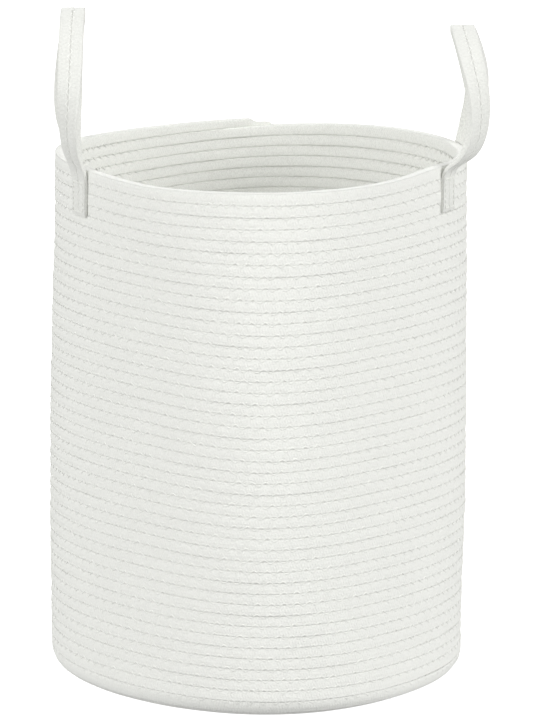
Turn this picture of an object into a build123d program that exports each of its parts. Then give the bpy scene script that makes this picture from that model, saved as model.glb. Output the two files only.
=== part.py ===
from build123d import *
import os
from math import acos, asin, atan2, ceil, cos, hypot, pi, radians, sin, sqrt

# A tall round laundry basket of coiled cotton rope with two soft strap handles.
# One rope starts at the middle of the base, winds outwards, turns up at the heel and climbs the wall, drawn in a
# little, to the rim, where its end is squeezed thin and sewn down. Each handle is a strap of two ropes side by
# side: its two ends are sewn flat on the outside of the wall, and the loop between them folds about a line just
# above the rim.
# Millimetres, +Z up, origin on the floor under the middle of the base, handles to -X (left) and +X (right).

# Wall and base: its sizes, the rope, the bend at the heel, how deep the rope is pressed flat on the floor and how
# far from the middle it starts, in turns
wall_height = 500.0
foot_outer_radius = 197.0
rim_outer_radius = 191.0
rope_diameter = 10.0
course_pitch = 10.6
heel_radius = 18.0
floor_flat = 0.5
first_turn = 0.5

# Free end of the rope on the rim: where it ends, how long it thins and how thin it gets
tail_end_angle = 91.0
tail_span_angle = 70.0
tail_tip_diameter = 5.5

# Handle strap: two ropes, each pressed to a rounded rectangle
strap_rope_width = 11.2
strap_rope_thickness = 8.0
strap_rope_corner = 3.5
strap_rope_gap = 0.5
seat_clearance = 0.3

# Sewn ends of the strap: length below the rim, how much of it is free, and how far the legs splay down to them
tab_length = 45.0
tab_free_length = 10.0
tab_splay_angle = 0.5

# Fold line of the handle: its height above the rim, how far the loop tips inwards and the play at the fold
fold_rise = 8.0
fold_inward_angle = 60.0
fold_spare_angle = 2.0
fold_play = 0.3

# Each loop stands as a soft strap stands: where its middle and its legs are on the wall, how high its top is,
# the radius of that top, how far it swells outwards, how far its top leans outwards and the length of each leg in
# which the strap turns until its outer face looks out of the loop
left_mid_angle = 183.8
left_half_angle = 26.2
left_loop_height = 131.0
left_top_radius = 82.0
left_loop_swell = 3.0
left_loop_lean = -5.0
right_mid_angle = -6.5
right_half_angle = 20.5
right_loop_height = 115.0
right_top_radius = 66.0
right_loop_swell = 20.0
right_loop_lean = 2.0
twist_length = 85.0
loop_stations = 25

# Thread of the box tack on each sewn end
stitch_length = 4.0
stitch_width = 1.0
stitch_height = 0.6
stitch_gap = 2.0
tack_inset = 3.0

# Worked out from the above
rope_radius = rope_diameter / 2
foot_radius = foot_outer_radius - rope_radius
rim_radius = rim_outer_radius - rope_radius
base_level = rope_radius - floor_flat
base_radius = foot_radius - heel_radius
heel_level = base_level + heel_radius
heel_step = 2 * asin(course_pitch / (2 * heel_radius))
base_turns = base_radius / course_pitch
heel_turns = base_turns + pi / 2 / heel_step
climb = wall_height - rope_radius - heel_level
total_turns = heel_turns + climb / course_pitch
taper = (rim_radius - foot_radius) / climb
tail_turn = total_turns - tail_span_angle / 360
middle_turn = (heel_turns + tail_turn) / 2

seat_radius = rim_outer_radius - taper * tab_length + seat_clearance
strap_radius = seat_radius + strap_rope_thickness / 2
strap_rope_offset = (strap_rope_width + strap_rope_gap) / 2
strap_half_width = strap_rope_offset + strap_rope_width / 2
fold_level = wall_height + fold_rise
notch_angle = (fold_inward_angle + fold_spare_angle) / 2


# The coiled rope: one formula from the middle of the base to the rim
def coil_profile(turn):
    """Radius and height of the rope's centre after this many turns, and how much each grows in a turn."""
    if turn <= base_turns:
        return turn * course_pitch, base_level, course_pitch, 0.0
    if turn <= heel_turns:
        bend = (turn - base_turns) * heel_step
        grown = heel_step * heel_radius
        radius = base_radius + heel_radius * sin(bend)
        level = heel_level - heel_radius * cos(bend)
        return radius, level, grown * cos(bend), grown * sin(bend)
    climbed = (turn - heel_turns) * course_pitch
    return foot_radius + taper * climbed, heel_level + climbed, taper * course_pitch, course_pitch


def coil_point(turn):
    """Place and direction of the rope's centre line, this many turns from the middle of the base."""
    radius, level, widening, rising = coil_profile(turn)
    angle = radians(tail_end_angle) + 2 * pi * (total_turns - turn)
    out = Vector(cos(angle), sin(angle), 0)
    ahead = Vector(sin(angle), -cos(angle), 0)
    step = ahead * (2 * pi * radius) + out * widening + Vector(0, 0, rising)
    return out * radius + Vector(0, 0, level), step.normalized()


def biarc(start, start_way, end, end_way):
    """Two arcs that leave start along start_way, meet smoothly and reach end along end_way."""
    chord = end - start
    ways = start_way + end_way
    bend = 2 * (1 - start_way.dot(end_way))
    along = chord.dot(ways)
    reach = (sqrt(along * along + bend * chord.dot(chord)) - along) / bend
    first_corner = start + start_way * reach
    second_corner = end - end_way * reach
    meeting = (first_corner + second_corner) / 2
    return [
        TangentArc(start, meeting, tangent=start_way),
        TangentArc(meeting, end, tangent=second_corner - first_corner),
    ]


def coil_path(first, last, biarc_turns):
    """Arcs along the rope between two turn counts, a biarc for each half or quarter turn."""
    count = ceil((last - first) / biarc_turns)
    ends = [coil_point(first + (last - first) * i / count) for i in range(count + 1)]
    return [arc for (p, t), (q, u) in zip(ends, ends[1:]) for arc in biarc(p, t, q, u)]


def least_gap(path, turns):
    """Least clear distance between one turn and the next, from points to the lines between points."""
    per_arc = ceil(192 * turns / len(path))
    points = [arc @ (i / per_arc) for arc in path for i in range(per_arc)]
    per_turn = len(points) / turns
    nearest = course_pitch
    for i, point in enumerate(points):
        for j in range(int(i + 0.93 * per_turn), min(int(i + 1.07 * per_turn), len(points) - 1)):
            line = points[j + 1] - points[j]
            off = point - points[j]
            share = min(max(off.dot(line) / line.dot(line), 0), 1)
            nearest = min(nearest, (off - line * share).length)
    return nearest - rope_diameter


def coil(name, first, last, biarc_turns):
    """One unbroken tube of rope between two turn counts."""
    turns = last - first
    path = coil_path(first, last, biarc_turns)
    place, way = coil_point(first)
    tube = sweep(Plane(origin=place, z_dir=way) * Circle(rope_radius), path=Wire(path))
    length = sum(arc.length for arc in path)
    share = tube.volume / (pi * rope_radius**2 * length)
    print(f"{name}: {turns:.1f} turns, least gap {least_gap(path, turns):.2f} mm, volume share {share:.4f}")
    return tube


def pressed_flat(tube):
    """The same rope with its underside pressed flat on the floor."""
    slab_side = 3 * foot_outer_radius
    slab = Box(slab_side, slab_side, rope_diameter, align=(Align.CENTER, Align.CENTER, Align.MAX))
    return tube - slab


def round_section(plane, radius):
    """A round face made of four quarter arcs."""
    corners = [(radius, 0), (0, radius), (-radius, 0), (0, -radius)]
    arcs = [RadiusArc(a, b, -radius) for a, b in zip(corners, corners[1:] + corners[:1])]
    return plane * make_face(arcs)


def rim_tail():
    """The last stretch of rope, which thins to its tip and lies on the course below."""
    stations = 8
    sections = []
    for i in range(stations + 1):
        share = i / stations
        place, way = coil_point(tail_turn + (total_turns - tail_turn) * share)
        radius = rope_radius + (tail_tip_diameter / 2 - rope_radius) * share**2
        sunk = place - Vector(0, 0, rope_radius - radius)
        upright = Vector(0, 0, 1) - way * way.Z
        sections.append(round_section(Plane(origin=sunk, x_dir=upright, z_dir=way), radius))
    return loft(sections)


# One rope of a strap
def strap_rope_section(centre, across, along):
    """The rope's rounded face, with its width along across and square to along."""
    plane = Plane(origin=centre, x_dir=across, z_dir=along)
    return plane * RectangleRounded(strap_rope_width, strap_rope_thickness, strap_rope_corner)


def smooth(share):
    """0 to 1 with no slope at either end."""
    return share * share * (3 - 2 * share)


class Handle:
    """One strap handle, in a frame with +X out through its middle: leg 1 is on the +Y side, leg -1 on the -Y side."""

    def __init__(self, half_angle, height, top_radius, swell, lean):
        self.tab_angle = half_angle + tab_splay_angle
        self.spread = strap_radius * sin(radians(half_angle))
        inner_edge = self.spread - strap_half_width
        self.reach = sqrt(seat_radius**2 - inner_edge**2) + strap_rope_thickness / 2
        self.fold_reach = self.reach + strap_rope_thickness / 2
        self.rise = height - fold_rise
        self.top_radius = top_radius
        self.top_centre = self.rise - top_radius
        foot_distance = hypot(self.spread, self.top_centre)
        self.leg_length = sqrt(foot_distance**2 - top_radius**2)
        self.leg_tilt = acos(top_radius / foot_distance) - atan2(self.top_centre, self.spread)
        self.length = 2 * self.leg_length + top_radius * (pi - 2 * self.leg_tilt)
        self.swell = swell
        self.lean = lean

    def fold_face(self, side):
        """Mitre face at the fold: side -1 is the top of a sewn end, side 1 the foot of the loop."""
        slope = radians(notch_angle)
        origin = Vector(self.fold_reach, 0, fold_level + side * fold_play / 2)
        return Plane(origin=origin, x_dir=(0, 1, 0), z_dir=(side * sin(slope), 0, cos(slope)))

    def tab(self, leg):
        """The two rope ends of one leg: flat on the wall where they are sewn, then free up to the fold."""
        yaw = radians(leg * self.tab_angle)
        across = Vector(-sin(yaw), cos(yaw), 0)
        up = Vector(0, 0, 1)
        wall_seat = Vector(cos(yaw), sin(yaw), 0) * strap_radius
        fold_seat = Vector(self.reach, leg * self.spread, fold_level)
        ropes = []
        for lane in (-1, 1):
            sewn = wall_seat + across * (lane * strap_rope_offset)
            bottom = sewn + up * (wall_height - tab_length)
            sewn_top = sewn + up * (wall_height - tab_free_length)
            top = fold_seat + Vector(0, lane * strap_rope_offset, 0)
            flat = extrude(strap_rope_section(bottom, across, up), tab_length - tab_free_length)
            turning = loft(
                [strap_rope_section(sewn_top, across, up), strap_rope_section(top, Vector(0, 1, 0), up)]
            )
            ropes.append(split(flat + turning, bisect_by=self.fold_face(-1), keep=Keep.BOTTOM))
        return Compound(children=ropes)

    def tack(self, leg):
        """Box tack of one sewn end: stitches along each rope and across both its ends."""
        face = Rot(0, 0, leg * self.tab_angle) * Pos(strap_radius + strap_rope_thickness / 2, 0, 0)
        low = wall_height - tab_length + tack_inset
        high = wall_height - tab_free_length - tack_inset
        step = stitch_length + stitch_gap
        column = int((high - low - 2 * stitch_gap - stitch_width) // step)
        seat = (Align.MIN, Align.CENTER, Align.CENTER)
        along = Box(stitch_height, stitch_width, stitch_length, align=seat)
        across = Box(stitch_height, stitch_length, stitch_width, align=seat)
        stitches = []
        for lane in (-1, 1):
            place = face * Pos(0, lane * strap_rope_offset, (low + high) / 2)
            stitches += [place * Pos(0, 0, end * (high - low) / 2) * across for end in (-1, 1)]
            stitches += [place * Pos(0, 0, (i - (column - 1) / 2) * step) * along for i in range(column)]
        return Compound(children=stitches)

    def loop_point(self, share):
        """Middle of the strap at a share of the loop's length, and the side of it that faces out of the loop."""
        leg = 1 if share <= 0.5 else -1
        run = self.length * min(share, 1 - share)
        if run < self.leg_length:
            turn = self.leg_tilt
            spread = self.spread - run * sin(turn)
            rise = run * cos(turn)
        else:
            turn = self.leg_tilt + (run - self.leg_length) / self.top_radius
            spread = self.top_radius * cos(turn)
            rise = self.top_centre + self.top_radius * sin(turn)
        height = rise / self.rise
        reach = self.reach + self.swell * sin(pi * height) ** 2 + self.lean * smooth(height)
        return Vector(reach, leg * spread, fold_level + rise), Vector(0, leg * cos(turn), sin(turn))

    def loop_rope(self, lane):
        """One rope of the loop, from fold to fold: lane 1 is on the outer edge of each leg, -1 on the inner one."""
        nudge = 0.1 / loop_stations
        foot = strap_rope_thickness
        sections = []
        for i in range(loop_stations):
            share = i / (loop_stations - 1)
            place, side = self.loop_point(share)
            along = self.loop_point(min(share + nudge, 1))[0] - self.loop_point(max(share - nudge, 0))[0]
            along = along.normalized()
            run = self.length * min(share, 1 - share)
            twist = pi / 2 * smooth(min(run / twist_length, 1))
            across = side * cos(twist) - Vector(sin(twist), 0, 0)
            across = (across - along * across.dot(along)).normalized()
            centre = place + across * (lane * strap_rope_offset)
            if i == 0:
                sections.append(strap_rope_section(centre - along * foot, across, along))
            sections.append(strap_rope_section(centre, across, along))
            if i == loop_stations - 1:
                sections.append(strap_rope_section(centre + along * foot, across, along))
        return split(loft(sections), bisect_by=self.fold_face(1), keep=Keep.TOP)

    def pieces(self, side, mid_angle, front_leg):
        """All nodes of the handle, turned to its place on the wall."""
        turned = Rot(0, 0, mid_angle)
        return {
            f"{side}_front_tab": turned * self.tab(front_leg),
            f"{side}_rear_tab": turned * self.tab(-front_leg),
            f"{side}_front_tack": turned * self.tack(front_leg),
            f"{side}_rear_tack": turned * self.tack(-front_leg),
            f"{side}_handle_outer_rope": turned * self.loop_rope(1),
            f"{side}_handle_inner_rope": turned * self.loop_rope(-1),
        }


left_handle = Handle(left_half_angle, left_loop_height, left_top_radius, left_loop_swell, left_loop_lean)
right_handle = Handle(right_half_angle, right_loop_height, right_top_radius, right_loop_swell, right_loop_lean)
parts = {
    "base_coil": pressed_flat(coil("base_coil", first_turn, base_turns, 0.25)),
    "heel_coil": pressed_flat(coil("heel_coil", base_turns, heel_turns, 0.25)),
    "lower_wall_coil": coil("lower_wall_coil", heel_turns, middle_turn, 0.5),
    "upper_wall_coil": coil("upper_wall_coil", middle_turn, tail_turn, 0.5),
    "rim_tail": rim_tail(),
    **left_handle.pieces("left", left_mid_angle, 1),
    **right_handle.pieces("right", right_mid_angle, -1),
}

os.makedirs("parts", exist_ok=True)
for node, shape in parts.items():
    export_step(shape, f"parts/{node}.step")
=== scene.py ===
from math import asin, pi, radians

import bpy
import numpy as np
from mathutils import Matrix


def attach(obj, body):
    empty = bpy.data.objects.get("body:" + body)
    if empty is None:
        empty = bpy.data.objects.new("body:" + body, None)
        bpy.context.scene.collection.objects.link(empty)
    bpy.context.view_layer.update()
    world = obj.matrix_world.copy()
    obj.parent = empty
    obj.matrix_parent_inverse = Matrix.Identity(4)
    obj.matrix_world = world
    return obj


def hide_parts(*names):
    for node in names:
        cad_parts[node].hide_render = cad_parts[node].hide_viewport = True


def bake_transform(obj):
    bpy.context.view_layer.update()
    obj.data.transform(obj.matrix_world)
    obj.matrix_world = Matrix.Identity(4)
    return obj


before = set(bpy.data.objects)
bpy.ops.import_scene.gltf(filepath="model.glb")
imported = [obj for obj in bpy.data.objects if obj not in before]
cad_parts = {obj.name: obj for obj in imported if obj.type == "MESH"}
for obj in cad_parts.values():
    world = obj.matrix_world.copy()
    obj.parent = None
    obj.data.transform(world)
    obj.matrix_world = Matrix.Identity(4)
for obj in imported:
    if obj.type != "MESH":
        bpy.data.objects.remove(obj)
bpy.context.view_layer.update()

# Base: the start of the one long rope that makes the whole basket, wound flat from the middle outwards.
# The rope is a soft round braid of undyed cotton, pressed flat where it lies on the floor.
# Each turn is sewn to the turn before it, so the courses touch all along.
rope_radius = 0.005
course_pitch = 0.0106
floor_flat = 0.0005
heel_radius = 0.012
wall_height = 0.500
foot_radius = 0.197 - rope_radius
rim_radius = 0.191 - rope_radius
tail_end_angle = radians(93)
first_turn = 0.5
base_level = rope_radius - floor_flat
base_radius = foot_radius - heel_radius
base_turns = base_radius / course_pitch
heel_level = base_level + heel_radius
heel_step = 2 * asin(course_pitch / (2 * heel_radius))
heel_turns = base_turns + pi / 2 / heel_step
climb = wall_height - rope_radius - heel_level
total_turns = heel_turns + climb / course_pitch
taper = (rim_radius - foot_radius) / climb
outer_squareness = 9
inner_squareness = 4
course_crush = 0.22
belly_depth = 0.0025
wall_lean = 0.0157
front_fold = radians(270.6)
front_fold_ends = 0.002
front_fold_middle = 0.010
back_fold = radians(89.5)
back_fold_ends = 0.0015
back_fold_middle = 0.008
fold_strip = radians(29)
fold_crease = radians(2.2)
fold_opening = radians(14)
foot_tuck = 0.0035
rim_spread = 0.0025
rim_pull = 0.0045
rim_pull_line = radians(328)
rim_slack = 0.0025
rim_slack_line = radians(236)
corner_waves = {2: (-0.0006, -0.0024), 4: (0.0023, 0.0010)}
rim_waves = {1: (0.0034, 0.0027), 2: (0.0021, 0.0022), 3: (-0.0013, 0)}
droop_waves = {1: (0.0029, 0), 2: (0.0034, 0.0008), 3: (0, 0.0053)}
base_steps = 84
base_points = 14


def wall_profile(run):
    """Radius and height so far along the profile from the middle of the base, and how far it has bent up."""
    bend = np.clip((run - base_radius) / heel_radius, 0, pi / 2)
    climbed = np.maximum(run - base_radius - heel_radius * pi / 2, 0)
    radius = np.minimum(run, base_radius) + heel_radius * np.sin(bend) + taper * climbed
    level = base_level + heel_radius * (1 - np.cos(bend)) + climbed
    return radius, level, bend


def coil_run(turns):
    """How far along the profile the rope's middle has come after so many turns."""
    bend = np.clip((turns - base_turns) * heel_step, 0, pi / 2)
    climbed = np.maximum(turns - heel_turns, 0) * course_pitch
    return np.minimum(turns, base_turns) * course_pitch + heel_radius * bend + climbed


def off_line(angle, line):
    """Angle from a line down the wall, from minus to plus half a turn."""
    return (angle - line + pi) % (2 * pi) - pi


def waved(angle, waves):
    """Waves round the basket: for each number of crests, how far they go with the cosine and the sine."""
    height = 0
    for crests, (with_cosine, with_sine) in waves.items():
        height = height + with_cosine * np.cos(crests * angle) + with_sine * np.sin(crests * angle)
    return height


def folded(angle, line, roundness):
    """1 on a fold line down the wall, falling straight to 0 at the edge of the strip that the fold lifts."""
    left_over = 1 - (np.sqrt(off_line(angle, line) ** 2 + roundness**2) - roundness) / fold_strip
    return (left_over + np.sqrt(left_over**2 + 0.004)) / 2


def settled(angle, radius, level):
    """Where a point of the evenly wound basket lies on the soft one.

    The wall bellies and leans, keeps a fold line at its front and back, and hangs from its two handles.
    """
    height = np.clip(level / wall_height, 0, 1)
    belly = np.sin(pi * height)
    roundness = fold_crease + fold_opening * (1 - belly) ** 2
    front = folded(angle, front_fold, roundness)
    back = folded(angle, back_fold, roundness)
    bulge = belly_depth * belly + (front_fold_ends + front_fold_middle * belly) * front
    bulge = bulge + (back_fold_ends + back_fold_middle * belly) * back
    right_foot = np.clip(np.cos(angle), 0, 1) ** 2 * np.clip((0.17 - level) / 0.12, 0, 1)
    left_rim = np.clip(-np.cos(angle), 0, 1) ** 2 * np.clip((level - 0.42) / 0.08, 0, 1)
    bulge = bulge - foot_tuck * right_foot + rim_spread * left_rim
    corners = waved(angle, corner_waves) * radius / foot_radius
    out = radius + bulge * np.clip(level / heel_level, 0, 1) + corners
    pulled = rim_pull * np.exp(-((off_line(angle, rim_pull_line) / 0.28) ** 2))
    slack = rim_slack * np.exp(-((off_line(angle, rim_slack_line) / 0.32) ** 2))
    lift = waved(angle, rim_waves) * height**2 + (pulled - slack) * height**6
    droop = waved(angle, droop_waves) * 2 * height * (1 - height)
    sag = droop + 0.003 * belly * front * height + 0.0015 * belly**0.3
    lean = wall_lean * (level - wall_height / 2) * height
    return np.stack([out * np.cos(angle) + lean, out * np.sin(angle), level + lift - sag], axis=-1)


def on_course(turns, out, aside):
    """Points beside the rope's middle: out of the basket, and aside along the wall to the next course."""
    radius, level, bend = wall_profile(coil_run(turns) + aside)
    unevenness = 0.00020 * np.sin(2 * pi * 3.37 * turns)
    unevenness = unevenness + 0.00017 * np.sin(2 * pi * 7.91 * turns + 1.3)
    unevenness = unevenness + 0.00013 * np.sin(2 * pi * 17.23 * turns + 0.4)
    out = out + unevenness * np.sin(bend)
    angle = tail_end_angle + 2 * pi * (total_turns - turns)
    return settled(angle, radius + out * np.sin(bend), level - out * np.cos(bend))


def pressed_round(points, squareness_out, squareness_in, crush):
    """Outline of a rope pressed between its neighbours: out and aside shares of its half sizes.

    The crush is how much wider than its place the rope would lie if nothing stopped it.
    """
    turn = 2 * pi * np.arange(points) / points
    squareness = np.where(np.cos(turn) > 0, squareness_out, squareness_in)
    out = np.sign(np.cos(turn)) * np.abs(np.cos(turn)) ** (2 / squareness)
    aside = np.sign(np.sin(turn)) * np.abs(np.sin(turn)) ** (2 / squareness)
    return out, np.clip(aside * (1 + crush), -1, 1)


def course_rings(turns, points, slim):
    """Rings of rope at these turns: each is pressed against its neighbours and slimmed by its share."""
    bend = wall_profile(coil_run(turns))[2]
    out, aside = pressed_round(points, outer_squareness, inner_squareness, course_crush)
    outer_half = base_level + floor_flat * bend / (pi / 2)
    half = np.where(out > 0, outer_half[:, None], rope_radius) * slim[:, None]
    sunk = (slim - 1)[:, None] * course_pitch / 2
    return on_course(turns[:, None], out * half, aside * course_pitch / 2 * slim[:, None] + sunk)


def rope_tube(name, rings):
    """A closed tube through rings of points: a Screw winds one ring into a tube, then it is laid in place."""
    count, points = rings.shape[:2]
    bpy.ops.object.select_all(action="DESELECT")
    bpy.ops.mesh.primitive_circle_add(vertices=points, radius=rope_radius, rotation=(pi / 2, 0, 0))
    tube = bpy.context.object
    tube.location.x = 4 * rope_radius
    bpy.ops.object.transform_apply(location=True, rotation=True, scale=True)
    tube.name = tube.data.name = name
    winding = tube.modifiers.new("Winding", "SCREW")
    winding.angle = pi
    winding.steps = winding.render_steps = count - 1
    winding.use_smooth_shade = True
    bpy.ops.object.modifier_apply(modifier="Winding")
    tube.data.vertices.foreach_set("co", rings.reshape(-1))
    corners = np.empty(len(tube.data.loops), dtype=np.int64)
    tube.data.loops.foreach_get("vertex_index", corners)
    ring, point = np.divmod(corners.reshape(-1, 4), points)
    closing = point.max(axis=1) - point.min(axis=1) > 1
    point = np.where(closing[:, None] & (point == 0), points, point)
    steps = np.linalg.norm(np.diff(rings.mean(axis=1), axis=0), axis=1)
    along = np.concatenate([[0], np.cumsum(steps)])
    lay = tube.data.uv_layers.new(name="Lay")
    lay.data.foreach_set("uv", np.stack([along[ring], point / points], axis=-1).reshape(-1))
    bpy.ops.object.mode_set(mode="EDIT")
    bpy.ops.mesh.select_all(action="SELECT")
    bpy.ops.mesh.fill_holes(sides=points)
    bpy.ops.mesh.select_all(action="SELECT")
    bpy.ops.mesh.normals_make_consistent(inside=False)
    bpy.ops.object.mode_set(mode="OBJECT")
    bpy.ops.object.shade_smooth_by_angle(angle=radians(75))
    return tube


def wound_rings(first, last, turn_steps, points):
    """Rings of the full rope between two turn counts."""
    turns = np.linspace(first, last, int((last - first) * turn_steps) + 1)
    return course_rings(turns, points, np.ones_like(turns))


def round_middle(bearing, radius):
    """Points of the base at these bearings from its middle, seen from above."""
    return np.stack([np.cos(bearing), np.sin(bearing)], axis=-1) * radius[:, None]


def tucked_end(rings):
    """The rope's own end ahead of its first ring: it curls on until it fills the eye of the coil."""
    level = rings[0, :, 2]
    bearing, next_bearing = np.arctan2(rings[:2, :, 1].mean(axis=1), rings[:2, :, 0].mean(axis=1))
    half_turn = np.sign(np.sin(next_bearing - bearing)) * pi
    curl = np.array([0.97, 0.9, 0.8, 0.65, 0.5, 0.35, 0.2, 0.1])
    outer = round_middle(bearing - half_turn * curl, course_pitch * (1 - curl / 2))
    inner = round_middle(bearing + half_turn * curl, course_pitch / 2 * curl)
    across = np.linalg.norm(rings[0, :, :2], axis=1)[:, None] / course_pitch
    plan = inner[:, None] + (outer - inner)[:, None] * across
    rounding = (1 - curl**6) ** (1 / 6)
    height = level.mean() + (level - level.mean()) * rounding[:, None]
    return np.concatenate([plan, height[:, :, None]], axis=-1)


class Shade:
    """A node's value that takes part in Python sums: each sum adds a Math node to its finish."""

    def __init__(self, finish, socket):
        self.finish = finish
        self.socket = socket

    def __add__(self, other):
        return self.finish.maths("ADD", self, other)

    def __radd__(self, other):
        return self.finish.maths("ADD", other, self)

    def __sub__(self, other):
        return self.finish.maths("SUBTRACT", self, other)

    def __rsub__(self, other):
        return self.finish.maths("SUBTRACT", other, self)

    def __mul__(self, other):
        return self.finish.maths("MULTIPLY", self, other)

    def __rmul__(self, other):
        return self.finish.maths("MULTIPLY", other, self)


class Finish:
    """A material made of nodes on one Principled shader."""

    def __init__(self, name, **constants):
        self.material = bpy.data.materials.new(name)
        self.material.use_nodes = True
        self.nodes = self.material.node_tree.nodes
        self.links = self.material.node_tree.links
        self.shader = self.nodes["Principled BSDF"]
        for socket, value in constants.items():
            self.shader.inputs[socket.replace("_", " ")].default_value = value

    def node(self, kind, settings, inputs, output=0):
        """One node: its settings first, then the values or links of its sockets. Gives back one output."""
        made = self.nodes.new(kind)
        for setting, value in settings.items():
            setattr(made, setting, value)
        for socket, value in inputs.items():
            if isinstance(value, Shade):
                self.links.new(value.socket, made.inputs[socket])
            else:
                made.inputs[socket].default_value = value
        return Shade(self, made.outputs[output])

    def maths(self, operation, first, second=0.0):
        return self.node("ShaderNodeMath", {"operation": operation}, {0: first, 1: second})

    def lay(self):
        """Distance along the rope in metres, and share of the way round it."""
        place = self.node("ShaderNodeUVMap", {"uv_map": "Lay"}, {})
        along = self.node("ShaderNodeSeparateXYZ", {}, {0: place}, "X")
        around = self.node("ShaderNodeSeparateXYZ", {}, {0: place}, "Y")
        return along, around

    def noise(self, cell, detail):
        """Even mottling from 0 to 1 with cells of this size in metres."""
        place = self.node("ShaderNodeTexCoord", {}, {}, "Object")
        inputs = {"Vector": place, "Scale": 1 / cell, "Detail": detail}
        return self.node("ShaderNodeTexNoise", {}, inputs, "Fac")

    def blend(self, share, low, high):
        """A colour between two, by a share from 0 to 1."""
        settings = {"data_type": "RGBA", "blend_type": "MIX", "clamp_factor": True}
        return self.node("ShaderNodeMix", settings, {0: share, 6: low, 7: high}, 2)

    def feed(self, socket, value):
        self.links.new(value.socket, self.shader.inputs[socket])

    def emboss(self, height, depth):
        """Relief on the surface: a height from 0 to 1 that stands for this depth in metres."""
        inputs = {"Height": height, "Strength": 1.0, "Distance": depth}
        self.feed("Normal", self.node("ShaderNodeBump", {}, inputs, "Normal"))


def braided_cotton(name, bright, shaded, strands, strand_length, relief, groove):
    """Soft braided cotton: two sets of strands that cross over and under, fuzzy, with faint uneven bleaching.

    Its lower edges, where they meet the course below, get painted shade in dashes between the stitches, by
    the groove share.
    The inside of the basket is less pressed, so its strands show more in tone, with more painted shade
    between them, and it gets less painted groove shade and shallower relief.
    """
    finish = Finish(name, Roughness=0.9, Sheen_Weight=0.25, Sheen_Roughness=0.6, Specular_IOR_Level=0.2)
    along, around = finish.lay()
    right_hand = along * (1 / strand_length) + around * strands
    left_hand = along * (1 / strand_length) - around * strands
    cell = finish.maths("FLOOR", right_hand) + finish.maths("FLOOR", left_hand)
    over = finish.maths("FRACT", cell * 0.5) * 2
    right_round = finish.maths("ABSOLUTE", finish.maths("SINE", right_hand * pi))
    left_round = finish.maths("ABSOLUTE", finish.maths("SINE", left_hand * pi))
    strand = over * right_round + (1 - over) * left_round
    fuzz = finish.noise(0.0016, 2) * 2.4 - 0.7
    mottle = finish.noise(0.045, 2)
    # The tone is partly painted shade between the strands, darker where they part, and partly random fuzz and
    # faint uneven bleaching.
    tone = strand * 0.25 + fuzz * 0.6 + mottle * 0.15
    off_middle = finish.maths("PINGPONG", around * 2, 0.5)
    inside = finish.maths("LESS_THAN", finish.maths("ABSOLUTE", around - 0.5), 0.25)
    under = finish.maths("GREATER_THAN", around, 0.5)
    edge = finish.maths("MAXIMUM", off_middle * 24 - 2 - inside * 2.2, 0.0)
    edge = finish.maths("MINIMUM", edge, 1.0)
    # Painted shade: a dark line along the lower edge of each course, broken into dashes at the stitch step
    # and fainter inside.
    stitches = finish.maths("SINE", along * (2 * pi / stitch_step) + finish.noise(0.012, 1) * 14)
    shade = edge * under * groove * (1 - inside * 0.8) * (0.55 + stitches * 0.45)
    shadow = (0.55, 0.55, 0.50, 1)
    # Inside, the grain gets stronger fuzz and more painted shade between the strands.
    grain_and_strand_shade = tone + inside * (strand * 0.5 + fuzz - 0.7) * 0.6
    finish.feed("Base Color", finish.blend(shade, finish.blend(grain_and_strand_shade, shaded, bright), shadow))
    finish.feed("Roughness", 0.82 + strand * 0.14)
    finish.emboss((strand * 0.45 + fuzz * 0.55) * (1 - inside * 0.3), relief)
    return finish.material


stitch_step = 0.0055
rope_bright = (0.975, 0.982, 0.938, 1)
rope_shaded = (0.865, 0.873, 0.830, 1)
rope_cotton = braided_cotton("rope_cotton", rope_bright, rope_shaded, 16, 0.0026, 0.0005, 0.4)
base_rings = wound_rings(first_turn, base_turns, base_steps, base_points)
base = rope_tube("base", np.concatenate([tucked_end(base_rings), base_rings]))
base.data.materials.append(rope_cotton)
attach(base, "basket")
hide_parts("base_coil")

# Heel: the same rope as it turns up from the base into the wall, in under two turns round a small bend.
# Here each course is laid a little above and outside the last one, which makes the rounded bottom edge.
wall_steps = 150
wall_points = 24
heel = rope_tube("heel", wound_rings(base_turns, heel_turns, wall_steps, wall_points))
heel.data.materials.append(rope_cotton)
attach(heel, "basket")
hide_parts("heel_coil")

# Lower wall: the rope climbing round and round, flattened outside into even bands by the sewing.
# The soft wall bellies a little and keeps a fold line down its front and back from being packed flat.
tail_span = 70 / 360
tail_turn = total_turns - tail_span
middle_turn = (heel_turns + tail_turn) / 2
lower_wall = rope_tube("lower_wall", wound_rings(heel_turns, middle_turn, wall_steps, wall_points))
lower_wall.data.materials.append(rope_cotton)
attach(lower_wall, "basket")
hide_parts("lower_wall_coil")

# Upper wall: the second half of the climb, drawn in a little towards the rim.
# It is the same unbroken rope, laid and sewn in the same way.
upper_wall = rope_tube("upper_wall", wound_rings(middle_turn, tail_turn, wall_steps, wall_points))
upper_wall.data.materials.append(rope_cotton)
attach(upper_wall, "basket")
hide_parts("upper_wall_coil")

# Rope end: the last stretch of the top course, which thins to a blunt tip at the back of the rim.
# A thin tongue of its strands runs on a little, and all of it is laid on the course below and sewn down.
tip_share = 0.74
tongue_share = 0.36
tongue_turns = 0.016
tongue_closing = (0.96, 0.82, 0.5)
tail_steps = 90
tail_turns = np.linspace(tail_turn, total_turns + tongue_turns, tail_steps)
tail_shares = np.clip((tail_turns - tail_turn) / (total_turns - tail_turn), 0, 1)
tail_slim = 1 - (1 - tip_share) * tail_shares**2
tail_slim = np.where(tail_turns > total_turns, tongue_share, tail_slim)
tail_slim = np.convolve(np.pad(tail_slim, 1, "edge"), (0.25, 0.5, 0.25), "valid")
tail_slim[-len(tongue_closing) :] *= tongue_closing
rope_end = rope_tube("rope_end", course_rings(tail_turns, wall_points, tail_slim))
rope_end.data.materials.append(rope_cotton)
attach(rope_end, "basket")
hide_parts("rim_tail")
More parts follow.
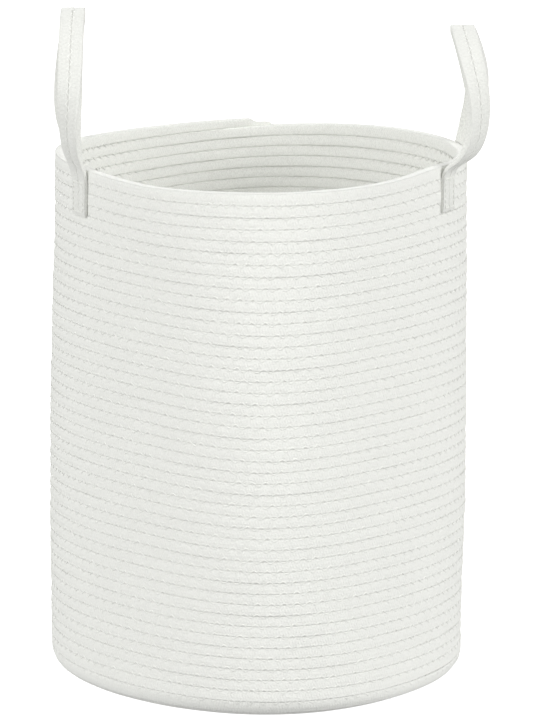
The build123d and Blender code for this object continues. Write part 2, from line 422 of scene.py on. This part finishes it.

# Zigzag seams: cotton thread that crosses from each course to the next, outside and inside the basket.
# Where it crosses it bridges the groove; the rows of short dark dashes along each groove are painted shade in
# the rope's colour.
stitch_bite = 0.0021
thread_radius = 0.00036
thread_spread = 1.5
thread_points = 6
thread_turn = 2 * pi * np.arange(thread_points) / thread_points


def zigzag_rings(first, last, side):
    """Rings of the thread that sews the courses between two turn counts: side 1 is outside, -1 inside."""
    fine = np.linspace(first, last, 4000)
    lengths = 2 * pi * wall_profile(coil_run(fine))[0] * np.gradient(fine)
    gone = np.cumsum(lengths)
    needle = np.interp(np.arange(gone[0], gone[-1], stitch_step), gone, fine)
    upper = np.arange(len(needle)) % 2
    squareness = outer_squareness if side > 0 else inner_squareness
    reach = 1 - stitch_bite / (course_pitch / 2)
    depth = (1 - (reach / (1 + course_crush)) ** squareness) ** (1 / squareness)
    bend = wall_profile(coil_run(needle))[2]
    outer_half = base_level + floor_flat * bend / (pi / 2)
    half = outer_half if side > 0 else np.full_like(outer_half, rope_radius)
    out = side * (half * depth + thread_radius * 0.2)
    if side > 0:
        out = out - 1.3 * thread_radius * np.cos(bend)
    aside = (1 - 2 * upper) * reach * course_pitch / 2
    rings_out = out[:, None] + thread_radius * np.cos(thread_turn)
    rings_aside = aside[:, None] + thread_spread * thread_radius * np.sin(thread_turn)
    return on_course((needle + upper)[:, None], rings_out, rings_aside)


def spun_thread(name, bright, shaded):
    """Sewing thread: two fine plies twisted together, a little smoother than the rope."""
    finish = Finish(name, Roughness=0.75, Sheen_Weight=0.15, Specular_IOR_Level=0.3)
    along, around = finish.lay()
    ply = finish.maths("ABSOLUTE", finish.maths("SINE", (along * (1 / 0.0016) + around) * pi))
    # The thread is darker between its plies, which is painted shade, and varies at random in tone.
    finish.feed("Base Color", finish.blend(ply * 0.6 + finish.noise(0.02, 2) * 0.4, shaded, bright))
    finish.emboss(ply, 0.0001)
    return finish.material


seam_thread = spun_thread("seam_thread", (0.955, 0.962, 0.920, 1), (0.890, 0.897, 0.855, 1))
seams = {
    "base": (first_turn + 0.5, base_turns - 1),
    "heel": (base_turns - 1, heel_turns - 0.5),
    "lower_wall": (heel_turns - 0.5, middle_turn - 0.5),
    "upper_wall": (middle_turn - 0.5, total_turns - 1.02),
}
for place, (seam_first, seam_last) in seams.items():
    for seam_side, side_name in ((1, "outside"), (-1, "inside")):
        seam = rope_tube(f"{place}_seam_{side_name}", zigzag_rings(seam_first, seam_last, seam_side))
        seam.data.materials.append(seam_thread)
        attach(seam, "basket")

# Handle straps: each is a flat strap of two cotton ropes side by side, one loop at each side of the rim.
# Its ends lie flat on the outside of the wall and are sewn down, and the free loop bends just above the rim.
strap_rope_half = 0.0057
strap_loop_half = 0.0036
strap_tab_half = 0.0018
tab_low = wall_height - 0.047
tab_high = wall_height - 0.008
strap_step = 0.0024
strap_softness = 0.008
strap_points = 20
strap_outer_squareness = 4.4
strap_inner_squareness = 8
strap_crush = 0.22
strap_tip_shares = (0.45, 0.8, 0.95, 1)


def eased(share):
    """0 to 1 with no slope at either end."""
    share = np.clip(share, 0, 1)
    return share * share * (3 - 2 * share)


def sewn_end(angle):
    """Middle of a strap end from its tip up to the rim, flat on the outside of the wall, and its heading."""
    levels = np.linspace(tab_low, tab_high, 9)
    wall = foot_radius + taper * (levels - heel_level) + rope_radius
    reach = 2 * strap_rope_half / rim_radius
    one_edge = settled(np.full_like(levels, radians(angle) - reach), wall, levels)
    other_edge = settled(np.full_like(levels, radians(angle) + reach), wall, levels)
    over = (other_edge - one_edge).mean(axis=0)
    outward = np.array([over[1], -over[0], 0]) / np.hypot(over[0], over[1])
    return (one_edge + other_edge) / 2 + outward * strap_tab_half, np.degrees(np.arctan2(over[1], over[0]))


def strap_line(front_angle, rear_angle, stations):
    """Middle of a strap from its front end over the loop to its rear end, at even steps, with its frame.

    A station of the loop is a place in millimetres and the heading of the strap's width there.
    The frame is the way along, the way across and the way out of the outer face.
    """
    front_end, front_heading = sewn_end(front_angle)
    rear_end, rear_heading = sewn_end(rear_angle)
    loop = np.array(stations)
    places = np.concatenate([front_end, loop[:, :3] / 1000, rear_end[::-1]])
    rear_heading = (rear_heading + 360) % 360 - 180
    turned = [front_heading] * len(front_end) + list(loop[:, 3]) + [rear_heading] * len(rear_end)
    gone = np.concatenate([[0], np.cumsum(np.linalg.norm(np.diff(places, axis=0), axis=1))])
    steps = np.linspace(0, gone[-1], int(gone[-1] / strap_step) + 1)
    spread = 9
    easing = np.exp(-((np.arange(-spread, spread + 1) * strap_step / strap_softness) ** 2) / 2)
    easing /= easing.sum()
    smooth = []
    for column in (*places.T, np.radians(turned)):
        even = np.interp(steps, gone, column)
        before = 2 * even[0] - even[spread:0:-1]
        after = 2 * even[-1] - even[-2 : -spread - 2 : -1]
        smooth.append(np.convolve(np.concatenate([before, even, after]), easing, "valid"))
    middle = np.stack(smooth[:3], axis=-1)
    along = np.gradient(middle, axis=0)
    along /= np.linalg.norm(along, axis=1, keepdims=True)
    across = np.stack([np.cos(smooth[3]), np.sin(smooth[3]), np.zeros(len(steps))], axis=-1)
    across -= along * (across * along).sum(axis=1, keepdims=True)
    across /= np.linalg.norm(across, axis=1, keepdims=True)
    return middle, along, across, np.cross(across, along)


def strap_half(middle):
    """Half thickness of the strap: pressed thin where it is sewn down, fuller in the loop."""
    return strap_tab_half + (strap_loop_half - strap_tab_half) * eased((middle[:, 2] - tab_high) / 0.03)


def rounds(centres, first, first_half, second, second_half):
    """A ring round each centre, spread by these half sizes along two ways."""
    first_reach = first[:, None] * first_half[..., None]
    second_reach = second[:, None] * second_half[..., None]
    return centres[:, None] + first_reach + second_reach


def joined(pieces):
    """Several pieces made into one."""
    bpy.ops.object.select_all(action="DESELECT")
    for piece in pieces:
        piece.select_set(True)
    bpy.context.view_layer.objects.active = pieces[0]
    bpy.ops.object.join()
    return pieces[0]


def bends_at_rim(piece):
    """Bakes the placement of a piece of a strap into its mesh."""
    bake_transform(piece)


strap_bright = (0.870, 0.877, 0.836, 1)
strap_shaded = (0.760, 0.768, 0.727, 1)
strap_cotton = braided_cotton("strap_cotton", strap_bright, strap_shaded, 8, 0.0042, 0.00035, 0.0)
handles = {
    "left": (209.0, 157.5, [
        (-170.5, -98, 507, -54), (-172.6, -103.5, 524, -50), (-173, -104, 546.3, -36),
        (-173, -97, 569.9, -15), (-172.6, -84.5, 593.6, -3), (-172.2, -63.4, 616.3, 0),
        (-172.2, -40.3, 628.1, 0), (-172.1, -18.2, 631.5, 0), (-173, 3.8, 628.5, 0),
        (-174.6, 25.9, 617.2, 0), (-177.6, 46.1, 596.7, 2), (-181.1, 59.5, 572.5, 10),
        (-183.7, 67.2, 549.2, 25), (-185, 71, 528, 42), (-183.4, 72.5, 506.7, 58),
    ]),
    "right": (-27.3, 13.8, [
        (188.5, -94.1, 502.2, 56), (195.8, -95.5, 512.5, 50), (200.6, -95, 524.8, 48),
        (202.8, -92.2, 540.5, 43), (202.6, -87.4, 556.2, 36), (200.5, -80.6, 573, 26),
        (196.4, -69.1, 591.7, 12), (192.6, -51.8, 606.5, 3), (190.5, -32.6, 613.8, 0),
        (190, -15.4, 615.3, 0), (191.3, 1.9, 612.4, 0), (195.8, 19.2, 602.1, -4),
        (201.8, 32.6, 586, -10), (206.9, 41.3, 567.6, -22), (208.4, 45.5, 549.2, -36),
        (205.6, 47, 532.7, -50), (200.5, 47.5, 518.1, -62), (195.5, 47.5, 503, -74),
    ]),
}
strap_lines = {side: strap_line(*sizes) for side, sizes in handles.items()}
strap_out, strap_aside = pressed_round(
    strap_points, strap_outer_squareness, strap_inner_squareness, strap_crush
)
for side, (middle, along, across, face) in strap_lines.items():
    from_end = np.minimum(np.arange(len(middle)), np.arange(len(middle))[::-1])
    closing = np.interp(from_end, range(len(strap_tip_shares)), strap_tip_shares)
    thick = strap_out * (strap_half(middle) * closing)[:, None]
    wide = np.tile(strap_aside * strap_rope_half, (len(middle), 1))
    ropes = []
    for lane in (-1, 1):
        lane_middle = middle + across * (lane * strap_rope_half)
        ropes.append(rope_tube(f"{side}_strap", rounds(lane_middle, across, wide, face, thick)))
    strap = joined(ropes)
    strap.data.materials.append(strap_cotton)
    bends_at_rim(strap)
    tabs = [f"{side}_front_tab", f"{side}_rear_tab"]
    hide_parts(*tabs, f"{side}_handle_outer_rope", f"{side}_handle_inner_rope")

# Strap seams: the zigzag thread down the middle of each strap, which holds its two ropes together.
# It shows on both faces of the strap, from one sewn end to the other.
seam_sway = 0.0022
seam_margin = 0.003


def strap_at(line, runs):
    """Middle and frame of a strap at these distances along it, in metres."""
    gone = np.arange(len(line[0])) * strap_step
    return [np.stack([np.interp(runs, gone, part[:, k]) for k in range(3)], axis=-1) for part in line]


for side, line in strap_lines.items():
    needle = np.arange(seam_margin, (len(line[0]) - 1) * strap_step - seam_margin, stitch_step)
    middle, along, across, face = strap_at(line, needle)
    sway = np.where(np.arange(len(needle)) % 2, -seam_sway, seam_sway)[:, None]
    thick = np.tile(thread_radius * np.cos(thread_turn), (len(needle), 1))
    wide = np.tile(thread_spread * thread_radius * np.sin(thread_turn), (len(needle), 1))
    faces_sewn = []
    for facing in (1, -1):
        lying = facing * (strap_half(middle) * 0.9 + thread_radius * 0.4)[:, None]
        thread_middle = middle + across * sway + face * lying
        faces_sewn.append(rope_tube(f"{side}_strap_seam", rounds(thread_middle, face, thick, across, wide)))
    strap_seam = joined(faces_sewn)
    strap_seam.data.materials.append(seam_thread)
    bends_at_rim(strap_seam)

# Box tacks: a rectangle of running stitches that sews each strap end through the wall.
# The thread goes along both ropes and across both ends of the sewn part.
tack_half = 0.0085
tack_low = 0.0035
tack_high = 0.0310
running_stitch = 0.0052
tack_radius = 0.00045
tack_dip = 0.0004
tack_sample = 0.0007
tack_across = np.array([-tack_half, -tack_half, tack_half, tack_half, -tack_half])
tack_up = np.array([tack_low, tack_high, tack_high, tack_low, tack_low])
tack_gone = np.concatenate([[0], np.cumsum(np.abs(np.diff(tack_across)) + np.abs(np.diff(tack_up)))])
sewn = np.arange(0, tack_gone[-1], tack_sample)
sideways = np.interp(sewn, tack_gone, tack_across)[:, None]
up_from_tip = np.interp(sewn, tack_gone, tack_up)
dipping = np.clip(3 * np.sin(2 * pi * sewn / running_stitch) + 1.4, -1, 1)[:, None] * tack_dip
for side, line in strap_lines.items():
    strap_length = (len(line[0]) - 1) * strap_step
    for end_name, runs in (("front", up_from_tip), ("rear", strap_length - up_from_tip)):
        middle, along, across, face = strap_at(line, runs)
        thread_middle = middle + across * sideways + face * (strap_tab_half + dipping)
        onward = np.gradient(thread_middle, axis=0)
        beside = np.cross(face, onward)
        beside /= np.linalg.norm(beside, axis=1, keepdims=True)
        thick = np.tile(tack_radius * np.cos(thread_turn), (len(sewn), 1))
        wide = np.tile(tack_radius * np.sin(thread_turn), (len(sewn), 1))
        tack = rope_tube(f"{side}_{end_name}_box_tack", rounds(thread_middle, face, thick, beside, wide))
        tack.data.materials.append(seam_thread)
        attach(tack, "basket")
        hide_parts(f"{side}_{end_name}_tack")

# Studio: a plain pale floor under even soft light, a wide lamp ahead at either side and a weaker one behind.
# The floor gives light of its own, so it stays white, and throws none back at the basket.
# The camera looks a little down at the front of the basket, a handle at each side.
lamps = {"left_lamp": (-58, 1.59), "right_lamp": (58, 1.76), "back_lamp": (180, 0.8)}
lamp_tip = radians(65)
lamp_softness = radians(40)
camera_place = (0, -3.8345, 1.1379)
camera_dip = radians(12.405)
camera_lens = 205.99
picture_shift = 0.01625
bpy.ops.object.select_all(action="DESELECT")
bpy.ops.mesh.primitive_plane_add(size=40, location=(0, 0, 0))
floor = bpy.context.object
floor.name = "floor"
floor_white = Finish("floor_white", Base_Color=(0.9, 0.9, 0.9, 1), Roughness=0.9, Specular_IOR_Level=0.1)
floor_white.shader.inputs["Emission Color"].default_value = (1, 1, 1, 1)
floor_white.shader.inputs["Emission Strength"].default_value = 0.75
floor.visible_diffuse = False
floor.data.materials.append(floor_white.material)

world = bpy.context.scene.world or bpy.data.worlds.new("Studio")
bpy.context.scene.world = world
world.use_nodes = True
sky = world.node_tree.nodes["Background"]
sky.inputs["Color"].default_value = (1, 1, 1, 1)
sky.inputs["Strength"].default_value = 0.46

for lamp_name, (lamp_bearing, lamp_strength) in lamps.items():
    lamp_turn = (lamp_tip, 0, radians(lamp_bearing))
    bpy.ops.object.light_add(type="SUN", location=(0, 0, 2), rotation=lamp_turn)
    lamp = bpy.context.object
    lamp.name = lamp_name
    lamp.data.energy = lamp_strength
    lamp.data.angle = lamp_softness

bpy.ops.object.camera_add(location=camera_place, rotation=(pi / 2 - camera_dip, 0, 0))
camera = bpy.context.object
camera.data.lens = camera_lens
camera.data.sensor_width = 36
camera.data.shift_x = picture_shift
camera.data.clip_end = 100
bpy.context.scene.camera = camera
bpy.context.scene.view_settings.view_transform = "Standard"
